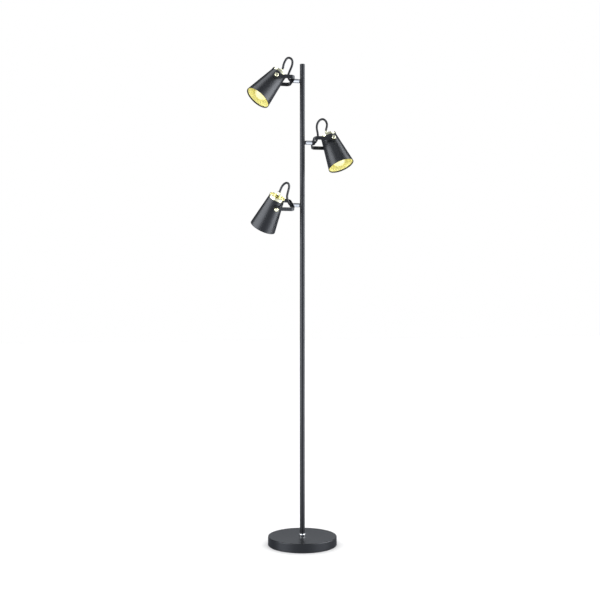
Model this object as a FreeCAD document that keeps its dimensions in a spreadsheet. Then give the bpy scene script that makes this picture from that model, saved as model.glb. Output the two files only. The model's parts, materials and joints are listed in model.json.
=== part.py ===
"""Free-standing floor lamp with three spot heads that swivel and tilt on one slim pole.

Millimetres. Z is up, the origin is on the floor under the pole, the heads reach out along X
and the front of the lamp faces -Y. The driving dimensions are in the sheet "sizes".
"""
import FreeCAD, Part
import math
import os
import re

import Sketcher

DIMENSIONS = {
    # base
    "lamp_height": 1538.0,
    "base_diameter": 220.0,
    "base_height": 29.0,
    "cover_wall": 1.5,
    "cover_edge_radius": 2.5,
    "weight_height": 18.0,
    "weight_gap": 0.5,
    "boss_wall": 7.0,
    "pad_thickness": 2.0,
    "well_gap": 2.0,
    "well_depth": 16.0,
    # pole and its foot
    "pole_diameter": 16.0,
    "pole_wall": 1.2,
    "pole_sections": 3.0,
    "cap_height": 3.0,
    "cap_plug_length": 10.0,
    "collar_step": 2.0,
    "collar_height": 7.0,
    "collar_roll": 2.8,
    "foot_wall": 1.75,
    "foot_plug_length": 30.0,
    "foot_thread_tail": 6.6,
    "foot_nut_height": 6.0,
    "foot_nut_wall": 5.0,
    "foot_washer_rim": 9.0,
    "foot_washer_thickness": 1.2,
    "joiner_length": 50.0,
    "joiner_wall": 2.2,
    # leads
    "flex_diameter": 7.0,
    "lead_gap": 0.5,
    "foot_lead_gap": 0.75,
    "lead_bend_radius": 6.0,
    "gland_gap": 0.6,
    "gland_wall": 1.0,
    "gland_rim": 2.4,
    "gland_flange": 2.0,
    "gland_length": 12.0,
    "gland_clearance": 0.5,
    "channel_gap": 0.9,
    "terminal_width": 12.0,
    "terminal_length": 26.0,
    "terminal_height": 8.0,
    "terminal_place": 40.0,
    # arms of the three heads
    "upper_drop": 55.2,
    "middle_drop": 251.0,
    "lower_drop": 452.0,
    "bush_wall": 0.9,
    "bush_length": 3.5,
    "stub_step": 1.3,
    "stub_chamfer": 0.5,
    "nipple_wall": 1.2,
    "nipple_tail": 1.1,
    "nipple_lead_in": 5.5,
    "spigot_inward": 1.0,
    "yoke_face": 32.0,
    "strap_thickness": 2.5,
    "strap_width": 12.0,
    "strap_bend": 10.0,
    "eye_radius": 9.5,
    "eye_blend": 6.0,
    "pivot_reach": 95.1,
    "strap_edge": 0.4,
    "washer_rim": 1.2,
    "outer_washer": 0.6,
    "inner_washer": 0.8,
    "stub_nut_wall": 1.8,
    "stub_nut_height": 3.0,
    # shades
    "shade_length": 106.8,
    "shade_top_radius": 26.2,
    "shade_mouth_radius": 42.6,
    "shade_wall": 1.0,
    "shade_shoulder": 0.5,
    "hem_width": 1.8,
    "hem_depth": 4.0,
    "pivot_drop": 22.0,
    "shade_side_gap": 0.4,
    "liner_wall": 0.6,
    "cup_ledge": 2.2,
    "cup_wall": 1.0,
    "cup_stand": 8.0,
    "cup_depth": 12.0,
    "cup_rim_round": 0.4,
    "vent_count": 8.0,
    "vent_radius": 2.6,
    # cord grip, lampholder and bulb
    "grip_end": 45.5,
    "loop_lead_in": 5.0,
    "grip_wall": 1.6,
    "grip_socket_depth": 5.0,
    "grip_collar_step": 2.3,
    "grip_collar_height": 2.0,
    "core_bore_radius": 2.2,
    "grip_thread_length": 9.0,
    "holder_wall": 6.1,
    "holder_neck_wall": 5.1,
    "holder_neck": 7.0,
    "holder_cap": 19.0,
    "holder_step": 0.8,
    "holder_lip": 2.0,
    "holder_length": 45.0,
    "holder_rib_count": 12.0,
    "holder_groove": 0.9,
    "socket_gap": 0.5,
    "socket_depth": 26.0,
    "bulb_cap_radius": 6.9,
    "bulb_cap_length": 24.0,
    "bulb_radius": 22.5,
    "bulb_length": 78.0,
    "bulb_neck_angle": 42.0,
    # pivots and knobs
    "insert_radius": 3.5,
    "insert_flange_radius": 5.5,
    "insert_bed": 1.9,
    "insert_inward": 4.0,
    "screw_radius": 2.0,
    "knob_radius": 6.4,
    "knob_length": 9.0,
    "knob_neck_step": 1.8,
    "knob_neck": 1.4,
    "knob_dome": 2.4,
    "knob_screw_inward": 8.0,
    "flute_count": 16.0,
    "flute_radius": 0.55,
    "flute_length": 4.2,
    # fits
    "fit_gap": 0.1,
    "running_gap": 0.05,
    "loose_gap": 0.3,
    # how each head stands in the photograph, in degrees
    "upper_swing": 0.0,
    "middle_swing": -6.6,
    "lower_swing": 0.0,
    "upper_roll": 9.7,
    "middle_roll": 20.4,
    "lower_roll": -29.9,
    "upper_tilt": 49.8,
    "middle_tilt": 72.1,
    "lower_tilt": 72.6,
}

# Which way each head stands out from the pole along X.
SIDES = {"upper": -1, "middle": 1, "lower": -1}

# Each flex loop's free points, in the plane of its own yoke: distance out from the pole, height
# over the stub. The run out of the stub and the run into the cord grip are worked out from sizes.
LOOP_ROUTES = {
    "upper": [(41.2, 0.0), (45.8, 7.2), (46.4, 17.0), (42.9, 27.0), (38.1, 37.5), (33.2, 47.8),
              (30.0, 58.3), (29.7, 68.0), (33.9, 75.4), (41.9, 77.8), (49.4, 73.6), (55.8, 62.8),
              (60.8, 50.4)],
    "middle": [(41.2, 0.0), (46.0, 7.4), (50.4, 16.8), (52.8, 28.0), (51.8, 40.0), (50.4, 51.8),
               (51.0, 63.5), (54.8, 75.0), (62.0, 84.8), (72.0, 89.6), (81.2, 84.2), (85.4, 73.2),
               (84.4, 60.4)],
    "lower": [(41.2, 0.0), (46.2, 7.4), (51.4, 16.6), (54.9, 27.6), (54.8, 39.5), (53.2, 50.8),
              (52.2, 61.8), (54.4, 72.2), (62.2, 76.8), (70.4, 71.9), (77.0, 61.6)],
}

doc = FreeCAD.newDocument("spot_floor_lamp")
sizes = doc.addObject("Spreadsheet::Sheet", "sizes")
for row, (alias, number) in enumerate(DIMENSIONS.items(), start=1):
    sizes.set("A%d" % row, alias)
    sizes.set("B%d" % row, str(number))
    sizes.setAlias("B%d" % row, alias)
doc.recompute()

SUBPARTS = []
SAME_PLACE = 0.000001


# ---------------------------------------------------------------- sizes and expressions

def cells(expression):
    """Write the sheet's name before each of its aliases in an expression."""
    def named(word):
        return "sizes." + word[0] if word[0] in DIMENSIONS else word[0]
    return re.sub(r"[a-z_]+", named, expression)


def value(expression):
    """The number that an expression over the sheet gives."""
    return float(sizes.evalExpression(cells(expression)))


def bind(feature, **expressions):
    """Tie properties of a feature to expressions over the sheet."""
    for name, expression in expressions.items():
        feature.setExpression(name, cells(expression))


# Sizes that follow from the sheet's own, as expressions over it.
OUTER_RADIUS = "(base_diameter / 2)"
WEIGHT_RADIUS = "(base_diameter / 2 - cover_wall - weight_gap)"
COVER_TOP_INSIDE = "(base_height - cover_wall)"
WELL_TOP = "(pad_thickness + well_depth)"
FOOT_BORE = "(flex_diameter / 2 + foot_lead_gap)"
FOOT_RADIUS = "(%s + foot_wall)" % FOOT_BORE
FOOT_HOLE = "(%s + loose_gap)" % FOOT_RADIUS
FOOT_WASHER_RADIUS = "(%s + foot_washer_rim)" % FOOT_RADIUS
WELL_RADIUS = "(%s + well_gap)" % FOOT_WASHER_RADIUS
BOSS_RADIUS = "(%s + boss_wall)" % WELL_RADIUS
POLE_FOOT = "(base_height + collar_height)"
COLLAR_RADIUS = "(pole_diameter / 2 + collar_step)"
POLE_BORE = "(pole_diameter / 2 - pole_wall)"
POLE_PLUG = "(%s - fit_gap)" % POLE_BORE
SECTION = "((lamp_height - cap_height - base_height - collar_height) / pole_sections)"

LEAD_HEIGHT = "(pad_thickness + flex_diameter / 2 + fit_gap)"
GLAND_BORE = "(flex_diameter / 2 + gland_gap)"
GLAND_RADIUS = "(%s + gland_wall)" % GLAND_BORE
GLAND_FLANGE_RADIUS = "(%s + gland_rim)" % GLAND_RADIUS
GLAND_HEIGHT = "(pad_thickness + %s + gland_clearance)" % GLAND_FLANGE_RADIUS
CHANNEL_HALF = "(terminal_width / 2 + channel_gap)"
CHANNEL_TOP = "(%s + %s + channel_gap)" % (GLAND_HEIGHT, GLAND_RADIUS)

NIPPLE_BORE = "(flex_diameter / 2 + lead_gap)"
NIPPLE_RADIUS = "(%s + nipple_wall)" % NIPPLE_BORE
STUB_RADIUS = "(%s + stub_step)" % NIPPLE_RADIUS
STUB_SEAT = "(pole_diameter / 2 + bush_length)"
SHOULDER = "(yoke_face - fit_gap - outer_washer)"
YOKE_INNER = "(yoke_face + strap_thickness)"
INNER_WASHER_FACE = "(%s + fit_gap)" % YOKE_INNER
NIPPLE_END = "(%s + inner_washer + stub_nut_height + nipple_tail)" % INNER_WASHER_FACE

SHADE_SLOPE = "((shade_mouth_radius - shade_top_radius) / shade_length)"
SHADE_TOP = "(-pivot_drop)"
SHADE_MOUTH = "(shade_length - pivot_drop)"
SHADE_SKIN = "(shade_wall + fit_gap)"
CUP_RADIUS = "(shade_top_radius - cup_ledge)"
CUP_RIM = "(-pivot_drop - cup_stand)"
CUP_FLOOR = "(%s + cup_depth)" % CUP_RIM
GRIP_BORE = "(flex_diameter / 2 + fit_gap)"
GRIP_RADIUS = "(%s + grip_wall)" % GRIP_BORE
GRIP_COLLAR_RADIUS = "(%s + grip_collar_step)" % GRIP_RADIUS
GRIP_THREAD = "(%s - fit_gap)" % GRIP_RADIUS
VENT_CIRCLE = "((%s + %s - cup_wall) / 2)" % (GRIP_COLLAR_RADIUS, CUP_RADIUS)
HOLDER_TOP = "(%s + cup_wall + fit_gap)" % CUP_FLOOR
SOCKET_RADIUS = "(bulb_cap_radius + socket_gap)"
HOLDER_RADIUS = "(%s + holder_wall)" % SOCKET_RADIUS
BULB_START = "(%s + holder_length - bulb_cap_length)" % HOLDER_TOP


def shade_radius(along):
    """Outer radius of the shade at a distance from the pivot towards the mouth."""
    return "(shade_top_radius + %s * (%s + pivot_drop))" % (SHADE_SLOPE, along)


# The yoke's arms stand clear of the shade where their eyes reach furthest towards its mouth.
YOKE_HALF_GAP = "(%s + shade_side_gap)" % shade_radius("eye_radius")
INSERT_SEAT = "(%s - fit_gap)" % YOKE_HALF_GAP
INSERT_FLANGE = "(%s - %s + insert_bed)" % (INSERT_SEAT, shade_radius("0"))
KNOB_FACE = "(%s + strap_thickness + fit_gap)" % YOKE_HALF_GAP


# ---------------------------------------------------------------- building blocks

def new_body(label):
    body = doc.addObject("PartDesign::Body", label)
    body.Label = label
    SUBPARTS.append(body)
    return body


def new_sketch(body, role):
    """An empty sketch on one of the body's own origin planes."""
    sketch = body.newObject("Sketcher::SketchObject", body.Name + "_sketch")
    plane = [item for item in body.Origin.OriginFeatures if item.Role == role][0]
    sketch.AttachmentSupport = [(plane, "")]
    sketch.MapMode = "FlatFace"
    return sketch


def pin(sketch, geometry, end, across, up):
    """Hold one point of a sketch by two sizes from the sketch's origin."""
    for kind, expression in (("DistanceX", across), ("DistanceY", up)):
        index = sketch.addConstraint(Sketcher.Constraint(kind, -1, 1, geometry, end, value(expression)))
        sketch.setExpression("Constraints[%d]" % index, cells(expression))


def arc_between(start, end, radius, turn):
    """The short arc from start to end, anticlockwise for turn +1 and clockwise for -1."""
    chord = end - start
    across = FreeCAD.Vector(-chord.y, chord.x, 0).normalize()
    lift = math.sqrt(max(radius ** 2 - (chord.Length / 2) ** 2, 0.0))
    centre = (start + end) / 2 + across * lift * turn
    first, last = (start, end) if turn > 0 else (end, start)
    angles = [math.atan2(point.y - centre.y, point.x - centre.x) for point in (first, last)]
    return Part.ArcOfCircle(Part.Circle(centre, FreeCAD.Vector(0, 0, 1), radius), *angles)


def apart(first, second):
    """Whether two corners of an outline lie at different places."""
    return any(abs(value(here) - value(there)) > SAME_PLACE for here, there in zip(first[:2], second[:2]))


def draw_outline(sketch, corners):
    """A closed outline. A corner is (across, up), or (across, up, radius, turn) where an arc leaves it.

    Two corners that meet at some size, as where a step vanishes, are drawn as one.
    """
    corners = [corner for corner, following in zip(corners, corners[1:] + corners[:1])
               if apart(corner, following)]
    points = [FreeCAD.Vector(value(corner[0]), value(corner[1]), 0) for corner in corners]
    ends = []
    for number, corner in enumerate(corners):
        start, end = points[number], points[(number + 1) % len(points)]
        if len(corner) == 2:
            ends.append((sketch.addGeometry(Part.LineSegment(start, end), False), 1, 2))
        else:
            arc = arc_between(start, end, value(corner[2]), corner[3])
            geometry = sketch.addGeometry(arc, False)
            ends.append((geometry, 1, 2) if corner[3] > 0 else (geometry, 2, 1))
    for number, (geometry, start, end) in enumerate(ends):
        following = ends[(number + 1) % len(ends)]
        sketch.addConstraint(Sketcher.Constraint("Coincident", geometry, end, following[0], following[1]))
        pin(sketch, geometry, start, corners[number][0], corners[number][1])
        if len(corners[number]) > 2:
            radius = corners[number][2]
            index = sketch.addConstraint(Sketcher.Constraint("Radius", geometry, value(radius)))
            sketch.setExpression("Constraints[%d]" % index, cells(radius))


def draw_circle(sketch, across, up, radius):
    centre = FreeCAD.Vector(value(across), value(up), 0)
    circle = sketch.addGeometry(Part.Circle(centre, FreeCAD.Vector(0, 0, 1), value(radius)), False)
    pin(sketch, circle, 3, across, up)
    index = sketch.addConstraint(Sketcher.Constraint("Radius", circle, value(radius)))
    sketch.setExpression("Constraints[%d]" % index, cells(radius))


def add_feature(body, kind, sketch, **expressions):
    """A sketch-based PartDesign feature with its sizes tied to the sheet."""
    feature = body.newObject("PartDesign::" + kind, body.Name + "_" + kind.lower())
    feature.Profile = sketch
    bind(feature, **expressions)
    sketch.Visibility = False
    doc.recompute()
    return feature


def revolve(body, sketch):
    feature = add_feature(body, "Revolution", sketch)
    feature.ReferenceAxis = (sketch, ["V_Axis"])
    feature.Angle = 360.0
    doc.recompute()
    return feature


def turned(label, corners):
    """A turned piece: its outline gives (radius, height), and its axis is the body's Z."""
    body = new_body(label)
    sketch = new_sketch(body, "XZ_Plane")
    draw_outline(sketch, corners)
    revolve(body, sketch)
    return body


def cut_through(body, sketch, kind="ThroughAll"):
    """Cut a sketch's outline through the whole body, both ways from its plane."""
    feature = body.newObject("PartDesign::Pocket", body.Name + "_cut")
    feature.Profile = sketch
    feature.Type = kind
    feature.Midplane = True
    doc.recompute()
    return feature


def edges_where(body, test):
    """Names of the body's edges that pass a test."""
    return ["Edge%d" % number for number, edge in enumerate(body.Tip.Shape.Edges, start=1) if test(edge)]


def round_edges(body, radius, test, kind="Fillet"):
    """A fillet or a chamfer on each edge that passes the test."""
    names = edges_where(body, test)
    base = body.Tip
    feature = body.newObject("PartDesign::" + kind, body.Name + "_" + kind.lower())
    feature.Base = (base, names)
    bind(feature, **{"Radius" if kind == "Fillet" else "Size": radius})
    doc.recompute()
    return feature


def ring_at(radius, height):
    """A test for the circular edge of a turned piece at one radius and height."""
    def test(edge):
        curve = edge.Curve
        return (isinstance(curve, Part.Circle) and abs(curve.Radius - value(radius)) < 0.01
                and abs(curve.Center.z - value(height)) < 0.01)
    return test


def polar(body, original, count):
    """Repeat a feature round the body's Z axis."""
    pattern = body.newObject("PartDesign::PolarPattern", body.Name + "_pattern")
    pattern.Originals = [original]
    axis = [item for item in body.Origin.OriginFeatures if item.Role == "Z_Axis"][0]
    pattern.Axis = (axis, [""])
    pattern.Angle = 360.0
    bind(pattern, Occurrences=count)
    body.Tip = pattern
    doc.recompute()
    return pattern


def cylinder(name, radius, length, placement=None):
    shape = doc.addObject("Part::Cylinder", name)
    bind(shape, Radius=radius, Height=length)
    if placement:
        shape.Placement = placement
    return shape


def cut_pair(label, base, tool):
    piece = doc.addObject("Part::Cut", label)
    piece.Base = base
    piece.Tool = tool
    doc.recompute()
    return piece


def group(label, pieces):
    """Separate solids that share one sub-part."""
    piece = doc.addObject("Part::Compound", label)
    piece.Links = pieces
    piece.Label = label
    SUBPARTS.append(piece)
    return piece


def shift(x=0.0, y=0.0, z=0.0):
    return FreeCAD.Placement(FreeCAD.Vector(x, y, z), FreeCAD.Rotation())


def turn(axis, degrees):
    return FreeCAD.Placement(FreeCAD.Vector(), FreeCAD.Rotation(FreeCAD.Vector(*axis), degrees))


X_AXIS = (1, 0, 0)
Y_AXIS = (0, 1, 0)
Z_AXIS = (0, 0, 1)
OUTWARD = turn(Y_AXIS, 90)


# ---------------------------------------------------------------- base

def make_base():
    """Pressed cover over a cast weight, on a soft pad, with the pole's foot clamped from below."""
    inner = "(%s - cover_wall)" % OUTER_RADIUS
    cover = turned("base_cover", [
        (FOOT_HOLE, COVER_TOP_INSIDE), (inner, COVER_TOP_INSIDE), (inner, "pad_thickness"),
        (OUTER_RADIUS, "pad_thickness"), (OUTER_RADIUS, "base_height"), (FOOT_HOLE, "base_height")])
    round_edges(cover, "cover_edge_radius", ring_at(OUTER_RADIUS, "base_height"))
    gland_hole = new_sketch(cover, "XZ_Plane")
    draw_circle(gland_hole, "0", GLAND_HEIGHT, GLAND_RADIUS + " + fit_gap")
    add_feature(cover, "Pocket", gland_hole, Length="base_diameter")

    weight_top = "(pad_thickness + weight_height)"
    weight = turned("base_weight", [
        (FOOT_HOLE, WELL_TOP), (WELL_RADIUS, WELL_TOP), (WELL_RADIUS, "pad_thickness"),
        (WEIGHT_RADIUS, "pad_thickness"), (WEIGHT_RADIUS, weight_top), (BOSS_RADIUS, weight_top),
        (BOSS_RADIUS, COVER_TOP_INSIDE), (FOOT_HOLE, COVER_TOP_INSIDE)])
    channel = new_sketch(weight, "XZ_Plane")
    draw_outline(channel, [("-" + CHANNEL_HALF, "0"), (CHANNEL_HALF, "0"),
                           (CHANNEL_HALF, CHANNEL_TOP), ("-" + CHANNEL_HALF, CHANNEL_TOP)])
    add_feature(weight, "Pocket", channel, Length="base_diameter")

    turned("base_pad", [("0", "0"), (WEIGHT_RADIUS, "0"), (WEIGHT_RADIUS, "pad_thickness"),
                        ("0", "pad_thickness")])


def make_foot():
    """Hollow threaded foot of the pole, with its nut, washer and bright collar."""
    washer_low = "(%s - foot_washer_thickness)" % WELL_TOP
    tail = washer_low + " - foot_thread_tail"
    top = POLE_FOOT + " + foot_plug_length"
    snug = "(%s + fit_gap)" % FOOT_RADIUS
    turned("pole_foot", [
        (FOOT_BORE, tail), (FOOT_RADIUS, tail), (FOOT_RADIUS, POLE_FOOT), (POLE_PLUG, POLE_FOOT),
        (POLE_PLUG, top), (FOOT_BORE, top)])
    washer = turned_loose("foot_washer", snug, FOOT_WASHER_RADIUS, washer_low, WELL_TOP)
    nut = hexagon_nut("foot_nut", FOOT_RADIUS, "foot_nut_wall", "fit_gap", "foot_nut_height")
    nut.Placement = shift(z=value(washer_low + " - foot_nut_height"))
    group("base_fixings", [washer, nut])
    collar = turned("pole_collar", [
        (snug, "base_height"), (COLLAR_RADIUS, "base_height"), (COLLAR_RADIUS, POLE_FOOT),
        (snug, POLE_FOOT)])
    for height in ("base_height", POLE_FOOT):
        round_edges(collar, "collar_roll", ring_at(COLLAR_RADIUS, height))


def turned_loose(name, inner, outer, low, high):
    """A plain ring for a group of solids."""
    height = "(%s) - (%s)" % (high, low)
    solid = cylinder(name + "_disc", outer, height)
    hole = cylinder(name + "_hole", inner, height)
    ring = cut_pair(name, solid, hole)
    ring.Placement = shift(z=value(low))
    return ring


def hexagon_nut(name, thread, wall, gap, height):
    """A nut whose flats stand one wall out from the thread that it turns on."""
    prism = doc.addObject("Part::Prism", name + "_hexagon")
    prism.Polygon = 6
    bind(prism, Circumradius="2 * (%s + %s) / sqrt(3)" % (thread, wall), Height=height)
    hole = cylinder(name + "_hole", "%s + %s" % (thread, gap), height)
    return cut_pair(name, prism, hole)


# ---------------------------------------------------------------- pole

def make_pole():
    """Three tubes in line on inner joiners, with a flat cap. The top tube carries the heads."""
    for number, name in enumerate(("pole_lower", "pole_middle", "pole_upper")):
        low = "(%s + %s * %d)" % (POLE_FOOT, SECTION, number)
        high = "(%s + %s * %d)" % (POLE_FOOT, SECTION, number + 1)
        tube = turned(name, [(POLE_BORE, low), ("pole_diameter / 2", low),
                             ("pole_diameter / 2", high), (POLE_BORE, high)])
        if name == "pole_upper":
            for head in SIDES:
                drill_side_hole(tube, head)
    joiners = []
    for number in (1, 2):
        middle = "(%s + %s * %d)" % (POLE_FOOT, SECTION, number)
        joiners.append(turned_loose("joiner_%d" % number, POLE_PLUG + " - joiner_wall", POLE_PLUG,
                                    middle + " - joiner_length / 2", middle + " + joiner_length / 2"))
    group("pole_joiners", joiners)
    top = "(lamp_height - cap_height)"
    cap = turned("pole_cap", [
        ("0", top + " - cap_plug_length"), (POLE_PLUG, top + " - cap_plug_length"), (POLE_PLUG, top),
        ("pole_diameter / 2", top), ("pole_diameter / 2", "lamp_height"), ("0", "lamp_height")])
    round_edges(cap, "cap_height / 3", ring_at("pole_diameter / 2", "lamp_height"))


def drill_side_hole(tube, head):
    """The hole in one side of the pole that a stub's spigot goes through."""
    sketch = new_sketch(tube, "YZ_Plane")
    sketch.AttachmentOffset = turn(Y_AXIS, value(head + "_swing"))
    sketch.setExpression(".AttachmentOffset.Rotation.Angle", cells(head + "_swing"))
    draw_circle(sketch, "0", head_height(head), NIPPLE_RADIUS + " + 2 * fit_gap")
    hole = add_feature(tube, "Pocket", sketch, Length="pole_diameter")
    hole.Reversed = SIDES[head] > 0
    doc.recompute()


# ---------------------------------------------------------------- leads inside the base and the pole

def make_leads():
    """Gland, terminal block and the lead up the pole with a branch through each stub."""
    gland = turned("cord_gland", [
        (GLAND_BORE, "0"), (GLAND_FLANGE_RADIUS, "0"), (GLAND_FLANGE_RADIUS, "gland_flange"),
        (GLAND_RADIUS, "gland_flange"), (GLAND_RADIUS, "gland_length"), (GLAND_BORE, "gland_length")])
    round_edges(gland, "gland_flange / 2", ring_at(GLAND_FLANGE_RADIUS, "0"))
    rear = value(OUTER_RADIUS + " + gland_flange")
    gland.Placement = shift(y=rear, z=value(GLAND_HEIGHT)) * turn(X_AXIS, 90)

    block = doc.addObject("Part::Box", "terminal_block")
    bind(block, Length="terminal_width", Width="terminal_length", Height="terminal_height")
    block.Placement = shift(-value("terminal_width / 2"), value("terminal_place"), value("pad_thickness"))
    SUBPARTS.append(block)

    height = value(LEAD_HEIGHT)
    bend = value("lead_bend_radius")
    top = value(head_height("upper")) + value("flex_diameter / 2")
    corner = FreeCAD.Vector(0, bend, height + bend)
    middle = corner + FreeCAD.Vector(0, -bend, -bend) * math.sqrt(0.5)
    path = Part.Wire([
        Part.LineSegment(FreeCAD.Vector(0, value("terminal_place"), height),
                         FreeCAD.Vector(0, bend, height)).toShape(),
        Part.Arc(FreeCAD.Vector(0, bend, height), middle, FreeCAD.Vector(0, 0, height + bend)).toShape(),
        Part.LineSegment(FreeCAD.Vector(0, 0, height + bend), FreeCAD.Vector(0, 0, top)).toShape()])
    trunk = doc.addObject("Part::Feature", "trunk_lead")
    trunk.Shape = tube_along(path, value("flex_diameter / 2"))
    branches = []
    for head in SIDES:
        start = value("flex_diameter / 2 + 2 * fit_gap")
        branch = cylinder(head + "_branch_lead", "flex_diameter / 2",
                          NIPPLE_END + " - nipple_lead_in - flex_diameter / 2 - 2 * fit_gap")
        branch.Placement = head_frame(head) * shift(start) * OUTWARD
        branches.append(branch)
    group("inner_leads", [trunk] + branches)


def tube_along(path, radius):
    """A round solid swept along a smooth path of lines and arcs."""
    first = path.Edges[0]
    start = first.valueAt(first.FirstParameter)
    along = first.tangentAt(first.FirstParameter)
    ring = Part.Wire([Part.makeCircle(radius, start, along)])
    return path.makePipeShell([ring], True, True)


# ---------------------------------------------------------------- heads

def head_height(head):
    return "(lamp_height - %s_drop)" % head


def arm_frame(head):
    """From the stub's own frame, X outward along it and Z up, to the lamp's."""
    facing = 0 if SIDES[head] > 0 else 180
    return shift(z=value(head_height(head))) * turn(Z_AXIS, facing + value(head + "_swing"))


def head_frame(head):
    """From the yoke's own frame, X outward along the stub and Y along the pivot, to the lamp's."""
    return arm_frame(head) * turn(X_AXIS, -SIDES[head] * value(head + "_roll"))


def aim_frame(head):
    """From the shade's own frame, Z from the pivot towards the mouth, to the lamp's."""
    return head_frame(head) * shift(value("pivot_reach")) * turn(Y_AXIS, 90 + value(head + "_tilt"))


def make_arm(head):
    """Bush on the pole, stub, washers and nut: everything that the yoke swivels on."""
    frame = arm_frame(head)
    solid = cylinder(head + "_bush_solid", NIPPLE_RADIUS + " + bush_wall",
                     "%s - %s" % (STUB_SEAT, NIPPLE_RADIUS), shift(value(NIPPLE_RADIUS)) * OUTWARD)
    bore = cylinder(head + "_bush_bore", NIPPLE_RADIUS + " + fit_gap", "pole_diameter", OUTWARD)
    pole = cylinder(head + "_bush_saddle", "pole_diameter / 2 + running_gap", "pole_diameter",
                    shift(z=-value("pole_diameter / 2")))
    bush = cut_pair(head + "_pole_bush", cut_pair(head + "_bush_ring", solid, bore), pole)
    bush.Placement = frame
    bush.Label = head + "_pole_bush"
    SUBPARTS.append(bush)

    spigot = "(%s - spigot_inward)" % POLE_BORE
    stub = turned(head + "_stub", [
        (NIPPLE_BORE, spigot), (NIPPLE_RADIUS, spigot), (NIPPLE_RADIUS, STUB_SEAT),
        (STUB_RADIUS, STUB_SEAT), (STUB_RADIUS, SHOULDER), (NIPPLE_RADIUS, SHOULDER),
        (NIPPLE_RADIUS, NIPPLE_END), (NIPPLE_BORE, NIPPLE_END)])
    for height in (STUB_SEAT, SHOULDER):
        round_edges(stub, "stub_chamfer", ring_at(STUB_RADIUS, height), "Chamfer")
    stub.Placement = frame * OUTWARD

    washers = []
    for name, face, thickness in (("outer", SHOULDER, "outer_washer"),
                                  ("inner", INNER_WASHER_FACE, "inner_washer")):
        washers.append(turned_loose("%s_%s_washer" % (head, name), NIPPLE_RADIUS + " + fit_gap",
                                    NIPPLE_RADIUS + " + washer_rim", face, face + " + " + thickness))
    for washer in washers:
        washer.Placement = frame * OUTWARD * washer.Placement
    group(head + "_swivel_washers", washers)

    nut = hexagon_nut(head + "_stub_nut", NIPPLE_RADIUS, "stub_nut_wall", "running_gap", "stub_nut_height")
    nut.Placement = frame * shift(value(INNER_WASHER_FACE + " + inner_washer")) * OUTWARD
    nut.Label = head + "_stub_nut"
    SUBPARTS.append(nut)


def make_yoke(head):
    """One flat strap bent to a U, with a round eye at the end of each arm."""
    yoke = new_body(head + "_yoke")
    plan = new_sketch(yoke, "XY_Plane")
    outside = "(%s + strap_thickness)" % YOKE_HALF_GAP
    end = "(pivot_reach + eye_radius)"
    draw_outline(plan, [
        ("yoke_face", "-" + outside), (end, "-" + outside), (end, "-" + YOKE_HALF_GAP),
        (YOKE_INNER, "-" + YOKE_HALF_GAP), (YOKE_INNER, YOKE_HALF_GAP), (end, YOKE_HALF_GAP),
        (end, outside), ("yoke_face", outside)])
    add_feature(yoke, "Pad", plan, Length="2 * eye_radius").Midplane = True
    doc.recompute()

    def bend_at(across, sideways):
        def test(edge):
            middle = edge.CenterOfMass
            return (abs(edge.Length - 2 * value("eye_radius")) < 0.01
                    and abs(middle.x - value(across)) < 0.01
                    and abs(abs(middle.y) - value(sideways)) < 0.01)
        return test

    round_edges(yoke, "strap_bend", bend_at(YOKE_INNER, YOKE_HALF_GAP))
    round_edges(yoke, "strap_bend + strap_thickness", bend_at("yoke_face", outside))

    side = new_sketch(yoke, "XZ_Plane")
    edge = "(strap_width / 2)"
    shoulder = "(pivot_reach - sqrt(eye_radius ^ 2 - (strap_width / 2) ^ 2))"
    clear = "(2 * eye_radius)"
    draw_outline(side, [("0", "-" + clear), (end + " + eye_radius", "-" + clear),
                        (end + " + eye_radius", clear), ("0", clear)])
    draw_outline(side, [("yoke_face / 2", "-" + edge), (shoulder, "-" + edge, "eye_radius", 1),
                        (end, "0", "eye_radius", 1), (shoulder, edge), ("yoke_face / 2", edge)])
    cut_through(yoke, side)

    def eye_root(corner):
        middle = corner.CenterOfMass
        return (abs(corner.Length - value("strap_thickness")) < 0.01
                and abs(middle.x - value(shoulder)) < 0.01
                and abs(abs(middle.z) - value(edge)) < 0.01)

    round_edges(yoke, "eye_blend", eye_root)
    round_edges(yoke, "strap_edge", lambda rim: True)
    pivots = new_sketch(yoke, "XZ_Plane")
    draw_circle(pivots, "pivot_reach", "0", "screw_radius + fit_gap")
    cut_through(yoke, pivots)
    swivel = new_sketch(yoke, "YZ_Plane")
    draw_circle(swivel, "0", "0", NIPPLE_RADIUS + " + running_gap")
    cut_through(yoke, swivel)
    yoke.Placement = head_frame(head)


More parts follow.
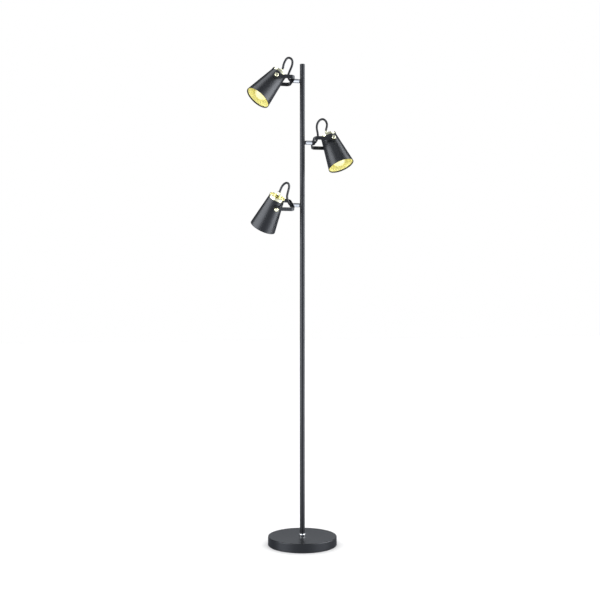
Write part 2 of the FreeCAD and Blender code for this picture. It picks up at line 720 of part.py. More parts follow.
def make_shade(head):
    """Spun cone with a folded hem, its bright liner and the vented cup that closes its top."""
    frame = aim_frame(head)
    neck = "(%s + fit_gap)" % CUP_RADIUS
    lip = "(%s + shade_wall)" % SHADE_TOP
    hem = "(%s - hem_depth)" % SHADE_MOUTH
    shade = turned(head + "_shade", [
        (neck, SHADE_TOP), ("shade_top_radius", SHADE_TOP), ("shade_mouth_radius", SHADE_MOUTH),
        ("shade_mouth_radius - hem_width", SHADE_MOUTH),
        (shade_radius(hem) + " - hem_width", hem), (shade_radius(hem) + " - shade_wall", hem),
        (shade_radius(lip) + " - shade_wall", lip), (neck, lip)])
    for edge in ("shade_mouth_radius", "shade_mouth_radius - hem_width"):
        round_edges(shade, "0.45 * hem_width", ring_at(edge, SHADE_MOUTH))
    round_edges(shade, "shade_shoulder", ring_at("shade_top_radius", SHADE_TOP))
    drill_pivot(shade, "insert_radius + fit_gap")
    shade.Placement = frame

    top = "(%s + 2 * shade_wall + 4 * fit_gap)" % SHADE_TOP
    bottom = "(%s - loose_gap)" % hem
    outer_top = "(%s - %s)" % (shade_radius(top), SHADE_SKIN)
    outer_bottom = "(%s - %s)" % (shade_radius(bottom), SHADE_SKIN)
    liner = turned(head + "_liner", [
        (outer_top + " - liner_wall", top), (outer_top, top),
        (outer_bottom, bottom), (outer_bottom + " - liner_wall", bottom)])
    drill_pivot(liner, "insert_radius + fit_gap")
    liner.Placement = frame

    band = "(shade_top_radius - cup_wall)"
    ledge = "(%s - fit_gap)" % SHADE_TOP
    wall = "(%s - cup_wall)" % CUP_RADIUS
    floor_low = "(%s + cup_wall)" % CUP_FLOOR
    grip_hole = "(%s + fit_gap)" % GRIP_THREAD
    cup = turned(head + "_top_cup", [
        (grip_hole, CUP_FLOOR), (wall, CUP_FLOOR), (wall, ledge + " - cup_wall"),
        (band, ledge + " - cup_wall"), (band, CUP_RIM), ("shade_top_radius", CUP_RIM),
        ("shade_top_radius", ledge), (CUP_RADIUS, ledge), (CUP_RADIUS, floor_low),
        (grip_hole, floor_low)])
    for edge in (band, "shade_top_radius"):
        round_edges(cup, "cup_rim_round", ring_at(edge, CUP_RIM))
    vent = new_sketch(cup, "XY_Plane")
    draw_circle(vent, VENT_CIRCLE, "0", "vent_radius")
    polar(cup, cut_through(cup, vent), "vent_count")
    cup.Placement = frame


def drill_pivot(body, radius):
    """The holes on both sides of a shade where the pivot's inserts go through."""
    sketch = new_sketch(body, "XZ_Plane")
    draw_circle(sketch, "0", "0", radius)
    cut_through(body, sketch)


def make_light(head):
    """Cord grip through the cup's floor, lampholder under it and a round opal bulb."""
    frame = aim_frame(head)
    end = "(-grip_end)"
    socket = "(grip_socket_depth - grip_end)"
    tail = "(%s + grip_thread_length)" % CUP_FLOOR
    collar = "(%s - grip_collar_height)" % CUP_FLOOR
    grip = turned(head + "_cord_grip", [
        (GRIP_BORE, end), (GRIP_RADIUS, end), (GRIP_RADIUS, collar), (GRIP_COLLAR_RADIUS, collar),
        (GRIP_COLLAR_RADIUS, CUP_FLOOR), (GRIP_THREAD, CUP_FLOOR), (GRIP_THREAD, tail),
        ("core_bore_radius", tail), ("core_bore_radius", socket), (GRIP_BORE, socket)])
    round_edges(grip, "grip_wall / 2.5", ring_at(GRIP_RADIUS, end))
    grip.Placement = frame

    entry = "(%s + fit_gap)" % GRIP_THREAD
    neck = "(%s + holder_neck_wall)" % GRIP_THREAD
    shoulder = "(%s + holder_neck)" % HOLDER_TOP
    cap_low = "(%s + holder_cap)" % HOLDER_TOP
    low = "(%s + holder_length)" % HOLDER_TOP
    well = "(%s - socket_depth)" % low
    skirt = "(%s - holder_step)" % HOLDER_RADIUS
    holder = turned(head + "_lampholder", [
        (entry, HOLDER_TOP), (neck, HOLDER_TOP), (HOLDER_RADIUS, shoulder), (HOLDER_RADIUS, cap_low),
        (skirt, cap_low + " + holder_step"), (skirt, low + " - holder_lip"),
        (HOLDER_RADIUS, low + " - holder_lip"), (HOLDER_RADIUS, low), (SOCKET_RADIUS, low),
        (SOCKET_RADIUS, well), (entry, well)])
    groove = new_sketch(holder, "XY_Plane")
    groove.AttachmentOffset = shift(z=value(HOLDER_TOP))
    groove.setExpression(".AttachmentOffset.Base.z", cells(HOLDER_TOP))
    draw_circle(groove, HOLDER_RADIUS, "0", "holder_groove")
    cut = add_feature(holder, "Pocket", groove, Length="holder_cap - holder_lip")
    cut.Reversed = True
    doc.recompute()
    polar(holder, cut, "holder_rib_count")
    holder.Placement = frame

    cap_end = "(%s + bulb_cap_length)" % BULB_START
    centre = "(%s + bulb_length - bulb_radius)" % BULB_START
    neck_across = "(bulb_radius * sin(bulb_neck_angle))"
    neck_up = "(%s - bulb_radius * cos(bulb_neck_angle))" % centre
    bulb = turned(head + "_bulb", [
        ("0", BULB_START), ("bulb_cap_radius", BULB_START), ("bulb_cap_radius", cap_end),
        (neck_across, neck_up, "bulb_radius", 1), ("bulb_radius", centre, "bulb_radius", 1),
        ("0", "(%s + bulb_length)" % BULB_START)])
    bulb.Placement = frame


def make_pivots(head):
    """Threaded inserts in the shade's sides, and the two clamp knobs."""
    frame = aim_frame(head)
    reach = "(%s - %s)" % (INSERT_SEAT, INSERT_FLANGE)
    inserts = []
    for name, towards in (("front", 1), ("rear", -1)):
        degrees = 90 * towards * SIDES[head]
        flange = cylinder("%s_%s_insert_flange" % (head, name), "insert_flange_radius",
                          INSERT_FLANGE, shift(z=value(reach)))
        cone = doc.addObject("Part::Cone", "%s_%s_insert_cone" % (head, name))
        bind(cone, Radius1="shade_top_radius + running_gap", Radius2="shade_mouth_radius + running_gap",
             Height="shade_length")
        cone.Placement = turn(X_AXIS, -degrees) * shift(z=-value("pivot_drop"))
        saddle = cut_pair("%s_%s_insert_saddle" % (head, name), flange, cone)
        barrel = cylinder("%s_%s_insert_barrel" % (head, name), "insert_radius",
                          INSERT_FLANGE + " + insert_inward", shift(z=value(reach + " - insert_inward")))
        insert = doc.addObject("Part::Fuse", "%s_%s_insert_blank" % (head, name))
        insert.Base = saddle
        insert.Tool = barrel
        thread = cylinder("%s_%s_insert_thread" % (head, name), "screw_radius + running_gap",
                          "2 * pivot_reach")
        threaded = cut_pair("%s_%s_insert" % (head, name), insert, thread)
        threaded.Placement = frame * turn(X_AXIS, degrees)
        inserts.append(threaded)

        screw_end = KNOB_FACE + " - knob_screw_inward"
        neck_end = KNOB_FACE + " + knob_neck"
        knob_end = KNOB_FACE + " + knob_length"
        neck = "(knob_radius - knob_neck_step)"
        knob = turned("%s_%s_knob" % (head, name), [
            ("0", screw_end), ("screw_radius", screw_end), ("screw_radius", KNOB_FACE),
            (neck, KNOB_FACE), (neck, neck_end), ("knob_radius", neck_end),
            ("knob_radius", knob_end), ("0", knob_end)])
        round_edges(knob, "knob_dome", ring_at("knob_radius", knob_end))
        flute = new_sketch(knob, "XY_Plane")
        flute.AttachmentOffset = shift(z=value(neck_end))
        flute.setExpression(".AttachmentOffset.Base.z", cells(neck_end))
        draw_circle(flute, "knob_radius", "0", "flute_radius")
        groove = add_feature(knob, "Pocket", flute, Length="flute_length")
        groove.Reversed = True
        doc.recompute()
        polar(knob, groove, "flute_count")
        knob.Placement = frame * turn(X_AXIS, degrees)
    group(head + "_pivot_inserts", inserts)


def make_flex_loop(head):
    """The free loop of flex from the stub's end to the cord grip, straight runs joined by arcs."""
    grip = shift(value("pivot_reach")) * turn(Y_AXIS, 90 + value(head + "_tilt"))
    end = grip.multVec(FreeCAD.Vector(0, 0, value("grip_socket_depth - grip_end")))
    approach = grip.multVec(FreeCAD.Vector(0, 0, -value("grip_end") - value("loop_lead_in")))
    points = [FreeCAD.Vector(value(NIPPLE_END + " - nipple_lead_in"), 0, 0)]
    points += [FreeCAD.Vector(across, 0, up) for across, up in LOOP_ROUTES[head]]
    points += [approach, end]
    radius = value("flex_diameter / 2")
    path, bends = path_through(points)
    tube = tube_along(path, radius)
    expected = math.pi * radius ** 2 * path.Length
    radii = ", ".join("%.1f" % bend for bend in bends)
    print("%s loop: %.1f mm long, bend radii %s, volume over section times length %.4f" % (
        head, path.Length, radii, tube.Volume / expected))
    loop = doc.addObject("Part::Feature", head + "_flex_loop")
    loop.Shape = tube
    loop.Placement = head_frame(head)
    SUBPARTS.append(loop)


def path_through(points):
    """Straight runs along the points, joined by arcs as large as each pair of runs allows."""
    edges = []
    bends = []
    here = points[0]
    for before, corner, after in zip(points, points[1:], points[2:]):
        back, ahead = before - corner, after - corner
        half_turn = (math.pi - back.getAngle(ahead)) / 2
        setback = 0.45 * min(back.Length, ahead.Length)
        bend = setback / math.tan(half_turn)
        start = corner + back.normalize() * setback
        finish = corner + ahead.normalize() * setback
        inward = (back + ahead).normalize()
        middle = corner + inward * (bend / math.cos(half_turn) - bend)
        edges.append(Part.LineSegment(here, start).toShape())
        edges.append(Part.Arc(start, middle, finish).toShape())
        bends.append(bend)
        here = finish
    edges.append(Part.LineSegment(here, points[-1]).toShape())
    return Part.Wire(edges), bends


# ---------------------------------------------------------------- build, check and write

def write_parts():
    """Refuse failed or empty pieces, then write each sub-part to its own file."""
    doc.recompute()
    failed = [item.Label for item in doc.Objects if "Invalid" in item.State or "Error" in item.State]
    if failed:
        raise RuntimeError("failed objects: %s" % failed)
    os.makedirs("parts", exist_ok=True)
    for part in SUBPARTS:
        shape = part.Shape
        if shape.isNull() or not shape.isValid() or not shape.Solids:
            raise RuntimeError("no valid solid in " + part.Label)
        shape.exportStep("parts/%s.step" % part.Label)
    print("%d sub-parts written" % len(SUBPARTS))


make_base()
make_foot()
make_pole()
make_leads()
for head_name in SIDES:
    make_arm(head_name)
    make_yoke(head_name)
    make_shade(head_name)
    make_light(head_name)
    make_pivots(head_name)
    make_flex_loop(head_name)
write_parts()
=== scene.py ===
"""Finish of a free-standing floor lamp with three spot heads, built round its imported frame.

Metres. Z is up, the floor is at zero under the pole and the front of the lamp faces -Y.
The CAD pieces keep their shapes and get their finishes here. The loops of flex and the smallest
fittings are made here.
"""
import json
import math

import bmesh
import bpy
from mathutils import Matrix, Vector


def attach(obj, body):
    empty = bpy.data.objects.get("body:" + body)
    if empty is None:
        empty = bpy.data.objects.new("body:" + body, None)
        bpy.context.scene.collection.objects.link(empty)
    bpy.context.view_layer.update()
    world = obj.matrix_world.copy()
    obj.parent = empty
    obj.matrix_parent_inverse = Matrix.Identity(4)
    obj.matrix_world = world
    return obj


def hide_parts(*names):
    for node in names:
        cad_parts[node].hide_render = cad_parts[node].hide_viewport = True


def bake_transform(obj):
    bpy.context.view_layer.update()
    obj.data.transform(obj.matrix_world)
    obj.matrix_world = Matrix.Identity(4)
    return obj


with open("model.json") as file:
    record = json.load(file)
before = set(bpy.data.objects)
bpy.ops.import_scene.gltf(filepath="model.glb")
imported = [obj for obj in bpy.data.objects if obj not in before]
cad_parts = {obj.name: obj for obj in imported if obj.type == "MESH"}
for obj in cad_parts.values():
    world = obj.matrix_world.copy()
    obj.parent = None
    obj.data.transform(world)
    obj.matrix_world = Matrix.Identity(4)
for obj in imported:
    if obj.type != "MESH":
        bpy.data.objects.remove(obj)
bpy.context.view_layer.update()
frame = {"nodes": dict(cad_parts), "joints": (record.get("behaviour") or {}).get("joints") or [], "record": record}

NODES = frame["nodes"]
JOINTS = {joint["name"]: joint for joint in frame["joints"]}
HEADS = ("upper", "middle", "lower")
MM = 0.001
UP = Vector((0.0, 0.0, 1.0))


def add_object(name, data):
    """A new object in the scene."""
    thing = bpy.data.objects.new(name, data)
    bpy.context.scene.collection.objects.link(thing)
    return thing


def object_of(name, shape):
    """A new object from a bmesh, which it frees."""
    mesh = bpy.data.meshes.new(name)
    shape.to_mesh(mesh)
    shape.free()
    return add_object(name, mesh)


# ---------------------------------------------------------------- camera

# The camera stands level with the middle of the pole, a little to its left. The lamp is
# turned under it, so the camera goes round the pole by that angle.
CAMERA_HEIGHT = 0.783
CAMERA_DISTANCE = 3.111
CAMERA_LEFT = 0.0075
LAMP_TURN = math.radians(16.1)
CAMERA_LENS = 58.3
SENSOR_WIDTH = 36.0


def make_camera():
    """The photograph's view, level and from in front of the lamp."""
    camera = add_object("camera", bpy.data.cameras.new("camera"))
    camera.data.lens = CAMERA_LENS
    camera.data.sensor_width = SENSOR_WIDTH
    place = Vector((-CAMERA_LEFT, -CAMERA_DISTANCE, CAMERA_HEIGHT))
    camera.location = Matrix.Rotation(-LAMP_TURN, 3, "Z") @ place
    camera.rotation_euler = (math.pi / 2, 0.0, -LAMP_TURN)
    bpy.context.scene.camera = camera


# ---------------------------------------------------------------- flex loops

FLEX_DIAMETER = 0.007

# How smoothly the flex is drawn: steps between two points, steps in a quarter of its round, and
# the order of its spline.
FLEX_STEPS = 12
FLEX_ROUND = 6
FLEX_ORDER = 3

# Out from the pole's axis: the swivel joint, the flex's start inside the stub, and the stub's end.
# Back from the shade's pivot: the cord grip's end. Then how far the flex goes into the grip, and
# how far it runs straight before it.
SWIVEL_REACH = 0.032
STUB_LEAD = 0.034
GRIP_END = 0.0455
GRIP_SOCKET = 0.005
GRIP_LEAD = 0.005

# Each loop's free points, in the plane of its own yoke: distance out from the pole, height over
# the stub. They are the CAD tube's points in metres.
LOOP_ROUTES = {
    "upper": [(0.0412, 0.0), (0.0458, 0.0072), (0.0464, 0.0170), (0.0429, 0.0270), (0.0381, 0.0375),
              (0.0332, 0.0478), (0.0300, 0.0583), (0.0297, 0.0680), (0.0339, 0.0754), (0.0419, 0.0778),
              (0.0494, 0.0736), (0.0558, 0.0628), (0.0608, 0.0504)],
    "middle": [(0.0412, 0.0), (0.0460, 0.0074), (0.0504, 0.0168), (0.0528, 0.0280), (0.0518, 0.0400),
               (0.0504, 0.0518), (0.0510, 0.0635), (0.0548, 0.0750), (0.0620, 0.0848), (0.0720, 0.0896),
               (0.0812, 0.0842), (0.0854, 0.0732), (0.0844, 0.0604)],
    "lower": [(0.0412, 0.0), (0.0462, 0.0074), (0.0514, 0.0166), (0.0549, 0.0276), (0.0548, 0.0395),
              (0.0532, 0.0508), (0.0522, 0.0618), (0.0544, 0.0722), (0.0622, 0.0768), (0.0704, 0.0719),
              (0.0770, 0.0616)],
}


def yoke_axes(head):
    """The stub's start on the pole's axis, then outward, sideways along the pivot, and up."""
    swivel, tilt = JOINTS[head + "_swivel"], JOINTS[head + "_tilt"]
    outward, sideways = Vector(swivel["axis"]), Vector(tilt["axis"])
    start = Vector(swivel["pos_m"]) - outward * SWIVEL_REACH
    return start, outward, sideways, outward.cross(sideways)


def shade_axis(head):
    """The pivot's place and the direction from it towards the shade's mouth, at rest."""
    _, outward, _, up = yoke_axes(head)
    tilt = -math.radians(JOINTS[head + "_tilt"]["range_deg"][0])
    return Vector(JOINTS[head + "_tilt"]["pos_m"]), outward * math.cos(tilt) - up * math.sin(tilt)


def spline_curve(name, points):
    """A smooth open curve with the points as its control points."""
    curve = bpy.data.curves.new(name, "CURVE")
    curve.dimensions = "3D"
    spline = curve.splines.new("NURBS")
    spline.points.add(len(points) - 1)
    for control, point in zip(spline.points, points):
        control.co = (*point, 1.0)
    spline.order_u = FLEX_ORDER
    spline.use_endpoint_u = True
    spline.resolution_u = FLEX_STEPS
    return curve


def mesh_of(name, curve):
    """The mesh that a curve draws."""
    holder = add_object(name, curve)
    bpy.context.view_layer.update()
    drawn = holder.evaluated_get(bpy.context.evaluated_depsgraph_get())
    mesh = bpy.data.meshes.new_from_object(drawn)
    bpy.data.objects.remove(holder)
    return mesh


def make_flex_loop(head):
    """Smooth round flex from inside the stub's end, up over the yoke and down into the cord grip."""
    start, outward, _, up = yoke_axes(head)
    pivot, towards_mouth = shade_axis(head)
    points = [start + outward * STUB_LEAD]
    points += [start + outward * across + up * height for across, height in LOOP_ROUTES[head]]
    approach = pivot - towards_mouth * (GRIP_END + GRIP_LEAD)
    points += [approach, pivot - towards_mouth * (GRIP_END - GRIP_SOCKET)]
    curve = spline_curve(head + "_flex", points)
    centreline = [vertex.co.copy() for vertex in mesh_of(head + "_flex_line", curve).vertices]
    curve.bevel_depth = FLEX_DIAMETER / 2
    curve.bevel_resolution = FLEX_ROUND
    curve.use_fill_caps = True
    tube = mesh_of(head + "_flex_tube", curve)
    flex = add_object(head + "_flex", tube)
    for face in tube.polygons:
        face.use_smooth = True
    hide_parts(head + "_flex_loop")
    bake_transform(flex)
    return flex


# ---------------------------------------------------------------- small fittings

# The end cap is pushed over the stub's nipple and keeps its edge off the flex. Its outline:
# distance out from the pole's axis, and radius.
CAP_OUTLINE = [(0.0382, 0.0053), (0.0382, 0.0062), (0.0400, 0.0066), (0.0408, 0.0063), (0.0412, 0.0056),
               (0.0412, 0.0041), (0.0396, 0.0041), (0.0396, 0.0053)]
CAP_STEPS = 40

# The grub screw stands a little out of the cord grip. Its socket is as deep as its own radius.
SCREW_RADIUS = 0.0015
SCREW_PROUD = 0.0005
SCREW_DEPTH = 0.0012
SCREW_SOCKET = 0.0008
SCREW_CHAMFER = 0.0003
SCREW_STEPS = 20
GRIP_RADIUS = 0.0052
GRIP_SCREW_BACK = 0.0405

# Points of an outline that meet on its axis become one.
MERGE_DISTANCE = 1e-6


def shape_to_piece(name, shape, body):
    """Close a bmesh into a piece that rides on a body."""
    bmesh.ops.remove_doubles(shape, verts=shape.verts, dist=MERGE_DISTANCE)
    bmesh.ops.recalc_face_normals(shape, faces=shape.faces)
    piece = object_of(name, shape)
    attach(piece, body)
    return piece


def make_end_cap(head):
    """Moulded cap on the nipple's end, where the flex comes out of the stub."""
    start, outward, _, up = yoke_axes(head)
    shape = bmesh.new()
    corners = [shape.verts.new(start + outward * along + up * radius) for along, radius in CAP_OUTLINE]
    edges = [shape.edges.new((corner, corners[number - 1])) for number, corner in enumerate(corners)]
    bmesh.ops.spin(shape, geom=corners + edges, cent=start, axis=outward, angle=2 * math.pi,
                   steps=CAP_STEPS, use_merge=True)
    return shape_to_piece(head + "_end_cap", shape, "lamp_stand")


def make_grip_screw(head):
    """Socket grub screw in the side of the cord grip, which pinches the flex."""
    pivot, towards_mouth = shade_axis(head)
    sideways = yoke_axes(head)[2]
    out = -sideways if sideways.y > 0 else sideways
    outer = GRIP_RADIUS + SCREW_PROUD
    outline = [(GRIP_RADIUS - SCREW_DEPTH, 0.0), (GRIP_RADIUS - SCREW_DEPTH, SCREW_RADIUS),
               (outer - SCREW_CHAMFER, SCREW_RADIUS), (outer, SCREW_RADIUS - SCREW_CHAMFER),
               (outer, SCREW_SOCKET), (outer - SCREW_SOCKET, SCREW_SOCKET),
               (outer - SCREW_SOCKET, 0.0)]
    middle = pivot - towards_mouth * GRIP_SCREW_BACK
    shape = bmesh.new()
    corners = [shape.verts.new(middle + out * along + towards_mouth * radius)
               for along, radius in outline]
    edges = [shape.edges.new(pair) for pair in zip(corners, corners[1:])]
    bmesh.ops.spin(shape, geom=corners + edges, cent=middle, axis=out, angle=2 * math.pi,
                   steps=SCREW_STEPS, use_merge=True)
    return shape_to_piece(head + "_grip_screw", shape, head + "_head")


# ---------------------------------------------------------------- materials

# Most of a noise pattern lies between these values, so its two colours are set there.
RAMP_START = 0.3
RAMP_END = 0.7


def colour(hex_code):
    """Linear RGBA of an sRGB hex value."""
    channels = [int(hex_code[place:place + 2], 16) / 255 for place in (1, 3, 5)]
    linear = [c / 12.92 if c <= 0.04045 else ((c + 0.055) / 1.055) ** 2.4 for c in channels]
    return (*linear, 1.0)


def per_metre(millimetres):
    """The scale that gives a noise pattern this spacing."""
    return 1.0 / (millimetres * MM)


def add_node(tree, kind, links=None, settings=None, **values):
    """Add one node: values for its sockets, links into them, settings of its own."""
    node = tree.nodes.new("ShaderNode" + kind)
    for name, setting in (settings or {}).items():
        setattr(node, name, setting)
    for name, number in values.items():
        node.inputs[name.replace("_", " ")].default_value = number
    for name, socket in (links or {}).items():
        tree.links.new(socket, node.inputs[name])
    return node


def new_material(name):
    """An empty material, its node tree, and the Object coordinates that its patterns follow."""
    material = bpy.data.materials.new(name)
    material.use_nodes = True
    tree = material.node_tree
    tree.nodes.clear()
    place = add_node(tree, "TexCoord").outputs["Object"]
    return material, tree, place


def surface(tree, shader):
    """The shader becomes the material's surface."""
    add_node(tree, "OutputMaterial", {"Surface": shader.outputs[0]})


def ramp(tree, factor, low, high):
    """A colour ramp from one colour to another."""
    node = add_node(tree, "ValToRGB", {"Fac": factor})
    stops = node.color_ramp.elements
    stops[0].position, stops[0].color = RAMP_START, low
    stops[1].position, stops[1].color = RAMP_END, high
    return node.outputs["Color"]


def span(tree, factor, low, high):
    """A number that runs from low to high with the pattern."""
    node = add_node(tree, "MapRange", {"Value": factor}, To_Min=low, To_Max=high)
    return node.outputs["Result"]


def noise(tree, place, spacing, detail=2.0, roughness=0.5):
    """A noise pattern with this spacing in millimetres."""
    return add_node(tree, "TexNoise", {"Vector": place}, Scale=per_metre(spacing), Detail=detail,
                    Roughness=roughness).outputs["Fac"]


def bump(tree, height, depth, strength=1.0):
    """A relief of this depth in millimetres."""
    return add_node(tree, "Bump", {"Height": height}, Strength=strength,
                    Distance=depth * MM).outputs["Normal"]


def satin_powder_coat():
    """Polyester powder baked on steel: near black, half matt, with a faint orange peel."""
    material, tree, place = new_material("satin_powder_coat")
    peel = noise(tree, place, 2.4, detail=2.0)
    cloud = noise(tree, place, 60.0, detail=1.0)
    shader = add_node(tree, "BsdfPrincipled", {
        "Base Color": ramp(tree, cloud, colour("#0e1013"), colour("#121417")),
        "Roughness": span(tree, noise(tree, place, 9.0), 0.34, 0.37),
        "Normal": bump(tree, peel, 0.003)}, IOR=1.5)
    surface(tree, shader)
    return material


def gold_lacquer():
    """Gold lacquer rolled on the liner before it was spun: pale yellow metal, half gloss."""
    material, tree, place = new_material("gold_lacquer")
    grain = noise(tree, place, 8.0, detail=2.0)
    shader = add_node(tree, "BsdfPrincipled", {
        "Base Color": ramp(tree, noise(tree, place, 18.0), colour("#f4eea0"), colour("#f8f3b4")),
        "Roughness": span(tree, grain, 0.46, 0.52)}, Metallic=0.5)
    surface(tree, shader)
    return material


def polished_brass():
    """Turned brass, polished and lacquered: pale yellow with crisp reflections."""
    material, tree, place = new_material("polished_brass")
    smear = noise(tree, place, 6.0, detail=3.0)
    shader = add_node(tree, "BsdfPrincipled", {
        "Base Color": ramp(tree, smear, colour("#f0ebc0"), colour("#f7f3d2")),
        "Roughness": span(tree, smear, 0.10, 0.16)}, Metallic=1.0)
    surface(tree, shader)
    return material


def bright_nickel():
    """Bright nickel plate on turned steel: silver, almost a mirror."""
    material, tree, place = new_material("bright_nickel")
    smear = noise(tree, place, 5.0, detail=3.0)
    shader = add_node(tree, "BsdfPrincipled", {
        "Base Color": ramp(tree, smear, colour("#eaeae8"), colour("#f3f3f1")),
        "Roughness": span(tree, smear, 0.10, 0.18)}, Metallic=1.0)
    surface(tree, shader)
    return material


def zinc_plate():
    """Zinc plate with a clear blue chromate on pressed steel: grey, with a faint bloom."""
    material, tree, place = new_material("zinc_plate")
    bloom = noise(tree, place, 4.0, detail=3.0)
    shader = add_node(tree, "BsdfPrincipled", {
        "Base Color": ramp(tree, bloom, colour("#b4b9c2"), colour("#c6c4b8")),
        "Roughness": span(tree, bloom, 0.28, 0.42)}, Metallic=1.0)
    surface(tree, shader)
    return material


def black_oxide():
    """Turned steel, blackened hot and oiled: near black with a metal sheen."""
    material, tree, place = new_material("black_oxide")
    oil = noise(tree, place, 3.0, detail=3.0)
    shader = add_node(tree, "BsdfPrincipled", {
        "Base Color": ramp(tree, oil, colour("#1b1b1d"), colour("#26262a")),
        "Roughness": span(tree, oil, 0.30, 0.42)}, Metallic=0.6)
    surface(tree, shader)
    return material


def sand_cast_iron():
    """Grey iron cast in sand and dipped in black primer: dark, rough and grainy."""
    material, tree, place = new_material("sand_cast_iron")
    grain = noise(tree, place, 2.2, detail=5.0, roughness=0.6)
    shader = add_node(tree, "BsdfPrincipled", {
        "Base Color": ramp(tree, grain, colour("#29292b"), colour("#3a3a3c")),
        "Roughness": span(tree, grain, 0.65, 0.85),
        "Normal": bump(tree, grain, 0.25)}, IOR=1.5)
    surface(tree, shader)
    return material


def foam_pad():
    """Closed-cell foam cut from sheet: black, dull, with small open cells on its face."""
    material, tree, place = new_material("foam_pad")
    cells = add_node(tree, "TexVoronoi", {"Vector": place}, Scale=per_metre(1.1)).outputs["Distance"]
    shader = add_node(tree, "BsdfPrincipled", {
        "Base Color": ramp(tree, cells, colour("#121213"), colour("#222224")),
        "Normal": bump(tree, cells, 0.2)}, Roughness=0.9, IOR=1.45)
    surface(tree, shader)
    return material


def moulded_nylon(name, low, high):
    """Injection-moulded nylon with a fine spark-eroded texture: half matt."""
    material, tree, place = new_material(name)
    texture = noise(tree, place, 0.8, detail=2.0)
    shader = add_node(tree, "BsdfPrincipled", {
        "Base Color": ramp(tree, noise(tree, place, 14.0), colour(low), colour(high)),
        "Roughness": span(tree, texture, 0.42, 0.56),
        "Normal": bump(tree, texture, 0.02, 0.7)}, IOR=1.53)
    surface(tree, shader)
    return material


def extruded_pvc():
    """Soft PVC sheath, extruded: black, smooth, with a soft gloss and faint scuffs."""
    material, tree, place = new_material("extruded_pvc")
    scuff = noise(tree, place, 7.0, detail=4.0)
    shader = add_node(tree, "BsdfPrincipled", {
        "Base Color": ramp(tree, scuff, colour("#0c0c0e"), colour("#121215")),
        "Roughness": span(tree, scuff, 0.30, 0.46),
        "Normal": bump(tree, noise(tree, place, 1.5), 0.02, 0.5)}, IOR=1.53)
    surface(tree, shader)
    return material


def opal_glass():
    """Opal-coated glass: milky and glossy. The light that passes through it is a faint glow here."""
    material, tree, place = new_material("opal_glass")
    milk = noise(tree, place, 20.0)
    shader = add_node(tree, "BsdfPrincipled", {
        "Base Color": ramp(tree, milk, colour("#ddd6a6"), colour("#e6dfb2")),
        "Roughness": span(tree, milk, 0.12, 0.20)}, IOR=1.5, Emission_Color=colour("#fbf3b8"),
        Emission_Strength=0.3)
    surface(tree, shader)
    return material


SLOT_FINISHES = {
    "black_coat": satin_powder_coat(),
    "gold_lining": gold_lacquer(),
    "brass": polished_brass(),
    "bright_metal": bright_nickel(),
    "zinc_steel": zinc_plate(),
    "cast_weight": sand_cast_iron(),
    "soft_pad": foam_pad(),
    "black_steel": black_oxide(),
    "black_plastic": moulded_nylon("black_nylon", "#131315", "#1a1a1c"),
    "white_plastic": moulded_nylon("white_nylon", "#d9d6cb", "#e6e3d8"),
    "black_flex": extruded_pvc(),
    "opal_bulb": opal_glass(),
}


def paint(piece, slot):
    """The piece gets its slot's finish."""
    piece.data.materials.clear()
    piece.data.materials.append(SLOT_FINISHES[slot])


def finish_frame():
    """Each CAD piece gets the finish of its slot in the record."""
    for subpart in frame["record"]["subparts"]:
        paint(NODES[subpart["node"]], subpart["material_slot"])


# ---------------------------------------------------------------- floor and light

FLOOR_SIDE = 30.0


def make_floor():
    """A wide pale floor. It holds back no light, and reflections show the room in its place."""
    shape = bmesh.new()
    bmesh.ops.create_grid(shape, x_segments=1, y_segments=1, size=FLOOR_SIDE / 2)
    floor = object_of("floor", shape)
    material, tree, place = new_material("pale_floor")
    cloud = noise(tree, place, 900.0)
    shader = add_node(tree, "BsdfPrincipled", {
        "Base Color": ramp(tree, cloud, colour("#fcfcfc"), colour("#ffffff"))}, Roughness=0.9)
    surface(tree, shader)
    floor.data.materials.append(material)
    floor.visible_glossy = False
    floor.visible_shadow = False


def towards(azimuth):
    """The level direction at this azimuth: 0 is in front of the lamp, 90 on its right."""
    angle = math.radians(azimuth)
    return Matrix.Rotation(-LAMP_TURN, 3, "Z") @ Vector((math.sin(angle), -math.cos(angle), 0.0))


def beside_pole(azimuth, distance, height):
    """A place at this azimuth and distance from the pole."""
    return towards(azimuth) * distance + UP * height


# The panels are a cool white.
SOFTBOX_TINT = (0.90, 0.94, 1.0)


def add_softbox(name, place, target, width, tall, radiance, lean=0.0):
    """A light panel that gives highlights only. It faces its target, and leans in degrees."""
    light = add_object(name, bpy.data.lights.new(name, "AREA"))
    light.location = place
    facing = (target - place).to_track_quat("-Z", "Y").to_matrix()
    light.rotation_euler = (facing @ Matrix.Rotation(math.radians(lean), 3, "Z")).to_euler()
    light.data.shape = "RECTANGLE"
    light.data.size = width
    light.data.size_y = tall
    light.data.color = SOFTBOX_TINT
    light.data.energy = radiance * math.pi * width * tall
    light.visible_diffuse = False


# How bright the room looks in glossy surfaces.
FRONT_HORIZON = 1.05
FRONT_ABOVE = 0.45
BACK_HORIZON = 0.3
BACK_ABOVE = 0.05
FLOOR_SIDES = 1.5
FLOOR_FRONT = 0.55
FLOOR_BACK = 0.25

# Where that changes. Height runs from 0 at the horizon to 1 overhead, and facing from -1 behind
# the lamp to 1 in front of it.
BACK_HEIGHTS = (0.15, 0.4)
FRONT_HEIGHTS = (0.1, 0.6)
HORIZON_HEIGHTS = (-0.12, -0.02)
ROOM_FACINGS = (-0.3, 0.6)
FLOOR_FACINGS = (-0.3, 0.4)
SHADE_FACINGS = (0.5, 0.95)

# How bright the room lights dull surfaces.
FILL_LEVEL = 1.2


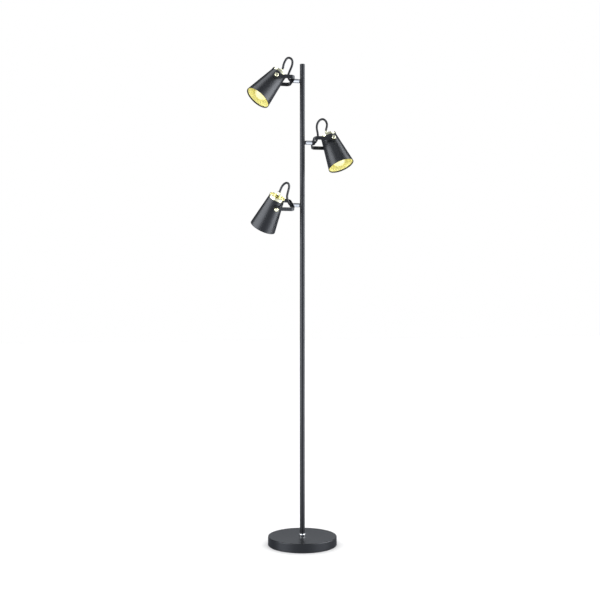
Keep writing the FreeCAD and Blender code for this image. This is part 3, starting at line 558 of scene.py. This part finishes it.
def fade(tree, factor, start, end, low, high, links=None):
    """A smooth step from low to high as the factor goes from start to end."""
    return add_node(tree, "MapRange", {"Value": factor, **(links or {})},
                    {"interpolation_type": "SMOOTHSTEP"}, From_Min=start, From_Max=end, To_Min=low,
                    To_Max=high).outputs["Result"]


def room_brightness(tree):
    """How bright the room looks in glossy surfaces: white at the front's horizon, dim behind,
    overhead and on the floor in front, where the lamp stands in its own shade."""
    where = add_node(tree, "TexCoord").outputs["Generated"]
    facing = add_node(tree, "VectorMath", {0: where}, {"operation": "DOT_PRODUCT"})
    facing.inputs[1].default_value = towards(0.0)
    height = add_node(tree, "SeparateXYZ", {"Vector": where}).outputs["Z"]
    facing = facing.outputs["Value"]
    behind = fade(tree, height, *BACK_HEIGHTS, BACK_HORIZON, BACK_ABOVE)
    before = fade(tree, height, *FRONT_HEIGHTS, FRONT_HORIZON, FRONT_ABOVE)
    above = fade(tree, facing, *ROOM_FACINGS, 0.0, 1.0, {"To Min": behind, "To Max": before})
    sides = fade(tree, facing, *FLOOR_FACINGS, FLOOR_BACK, FLOOR_SIDES)
    below = fade(tree, facing, *SHADE_FACINGS, 0.0, FLOOR_FRONT, {"To Min": sides})
    return fade(tree, height, *HORIZON_HEIGHTS, 0.0, 1.0, {"To Min": below, "To Max": above})


def light_studio():
    """A white room and five softboxes: one at each side, one over the left, one that lies on the
    floor at the right, and a low one behind."""
    world = bpy.data.worlds.new("studio")
    world.use_nodes = True
    tree = world.node_tree
    tree.nodes.clear()
    cast = add_node(tree, "Background", {"Strength": room_brightness(tree)}, Color=colour("#e9f0ff"))
    seen = add_node(tree, "Background", Color=(1, 1, 1, 1), Strength=1.0)
    filled = add_node(tree, "Background", Color=(1, 1, 1, 1), Strength=FILL_LEVEL)
    rays = add_node(tree, "LightPath")
    soft = add_node(tree, "MixShader", {0: rays.outputs["Is Diffuse Ray"], 1: cast.outputs[0],
                                        2: filled.outputs[0]})
    mixed = add_node(tree, "MixShader", {0: rays.outputs["Is Camera Ray"], 1: soft.outputs[0],
                                         2: seen.outputs[0]})
    add_node(tree, "OutputWorld", {"Surface": mixed.outputs[0]})
    bpy.context.scene.world = world
    add_softbox("right_light", beside_pole(azimuth=92, distance=1.7, height=2.2), UP * 2.2,
                width=1.4, tall=4.4, radiance=5.2)
    add_softbox("left_light", beside_pole(azimuth=-72, distance=1.7, height=1.5), UP * 1.5,
                width=1.5, tall=3.0, radiance=4.2, lean=25.0)
    add_softbox("top_light", beside_pole(azimuth=-80, distance=0.6, height=3.4), UP * 1.3,
                width=1.2, tall=1.4, radiance=3.2)
    card = beside_pole(azimuth=78, distance=1.35, height=0.01)
    add_softbox("floor_light", card, card + UP, width=1.2, tall=1.2, radiance=3.6)
    add_softbox("base_light", beside_pole(azimuth=180, distance=0.75, height=0.33), UP * 0.33,
                width=1.8, tall=0.17, radiance=1.1)
    bpy.context.scene.view_settings.view_transform = "Standard"


make_camera()
finish_frame()
for name in HEADS:
    paint(make_flex_loop(name), "black_flex")
    paint(make_end_cap(name), "black_plastic")
    paint(make_grip_screw(name), "zinc_steel")
make_floor()
light_studio()
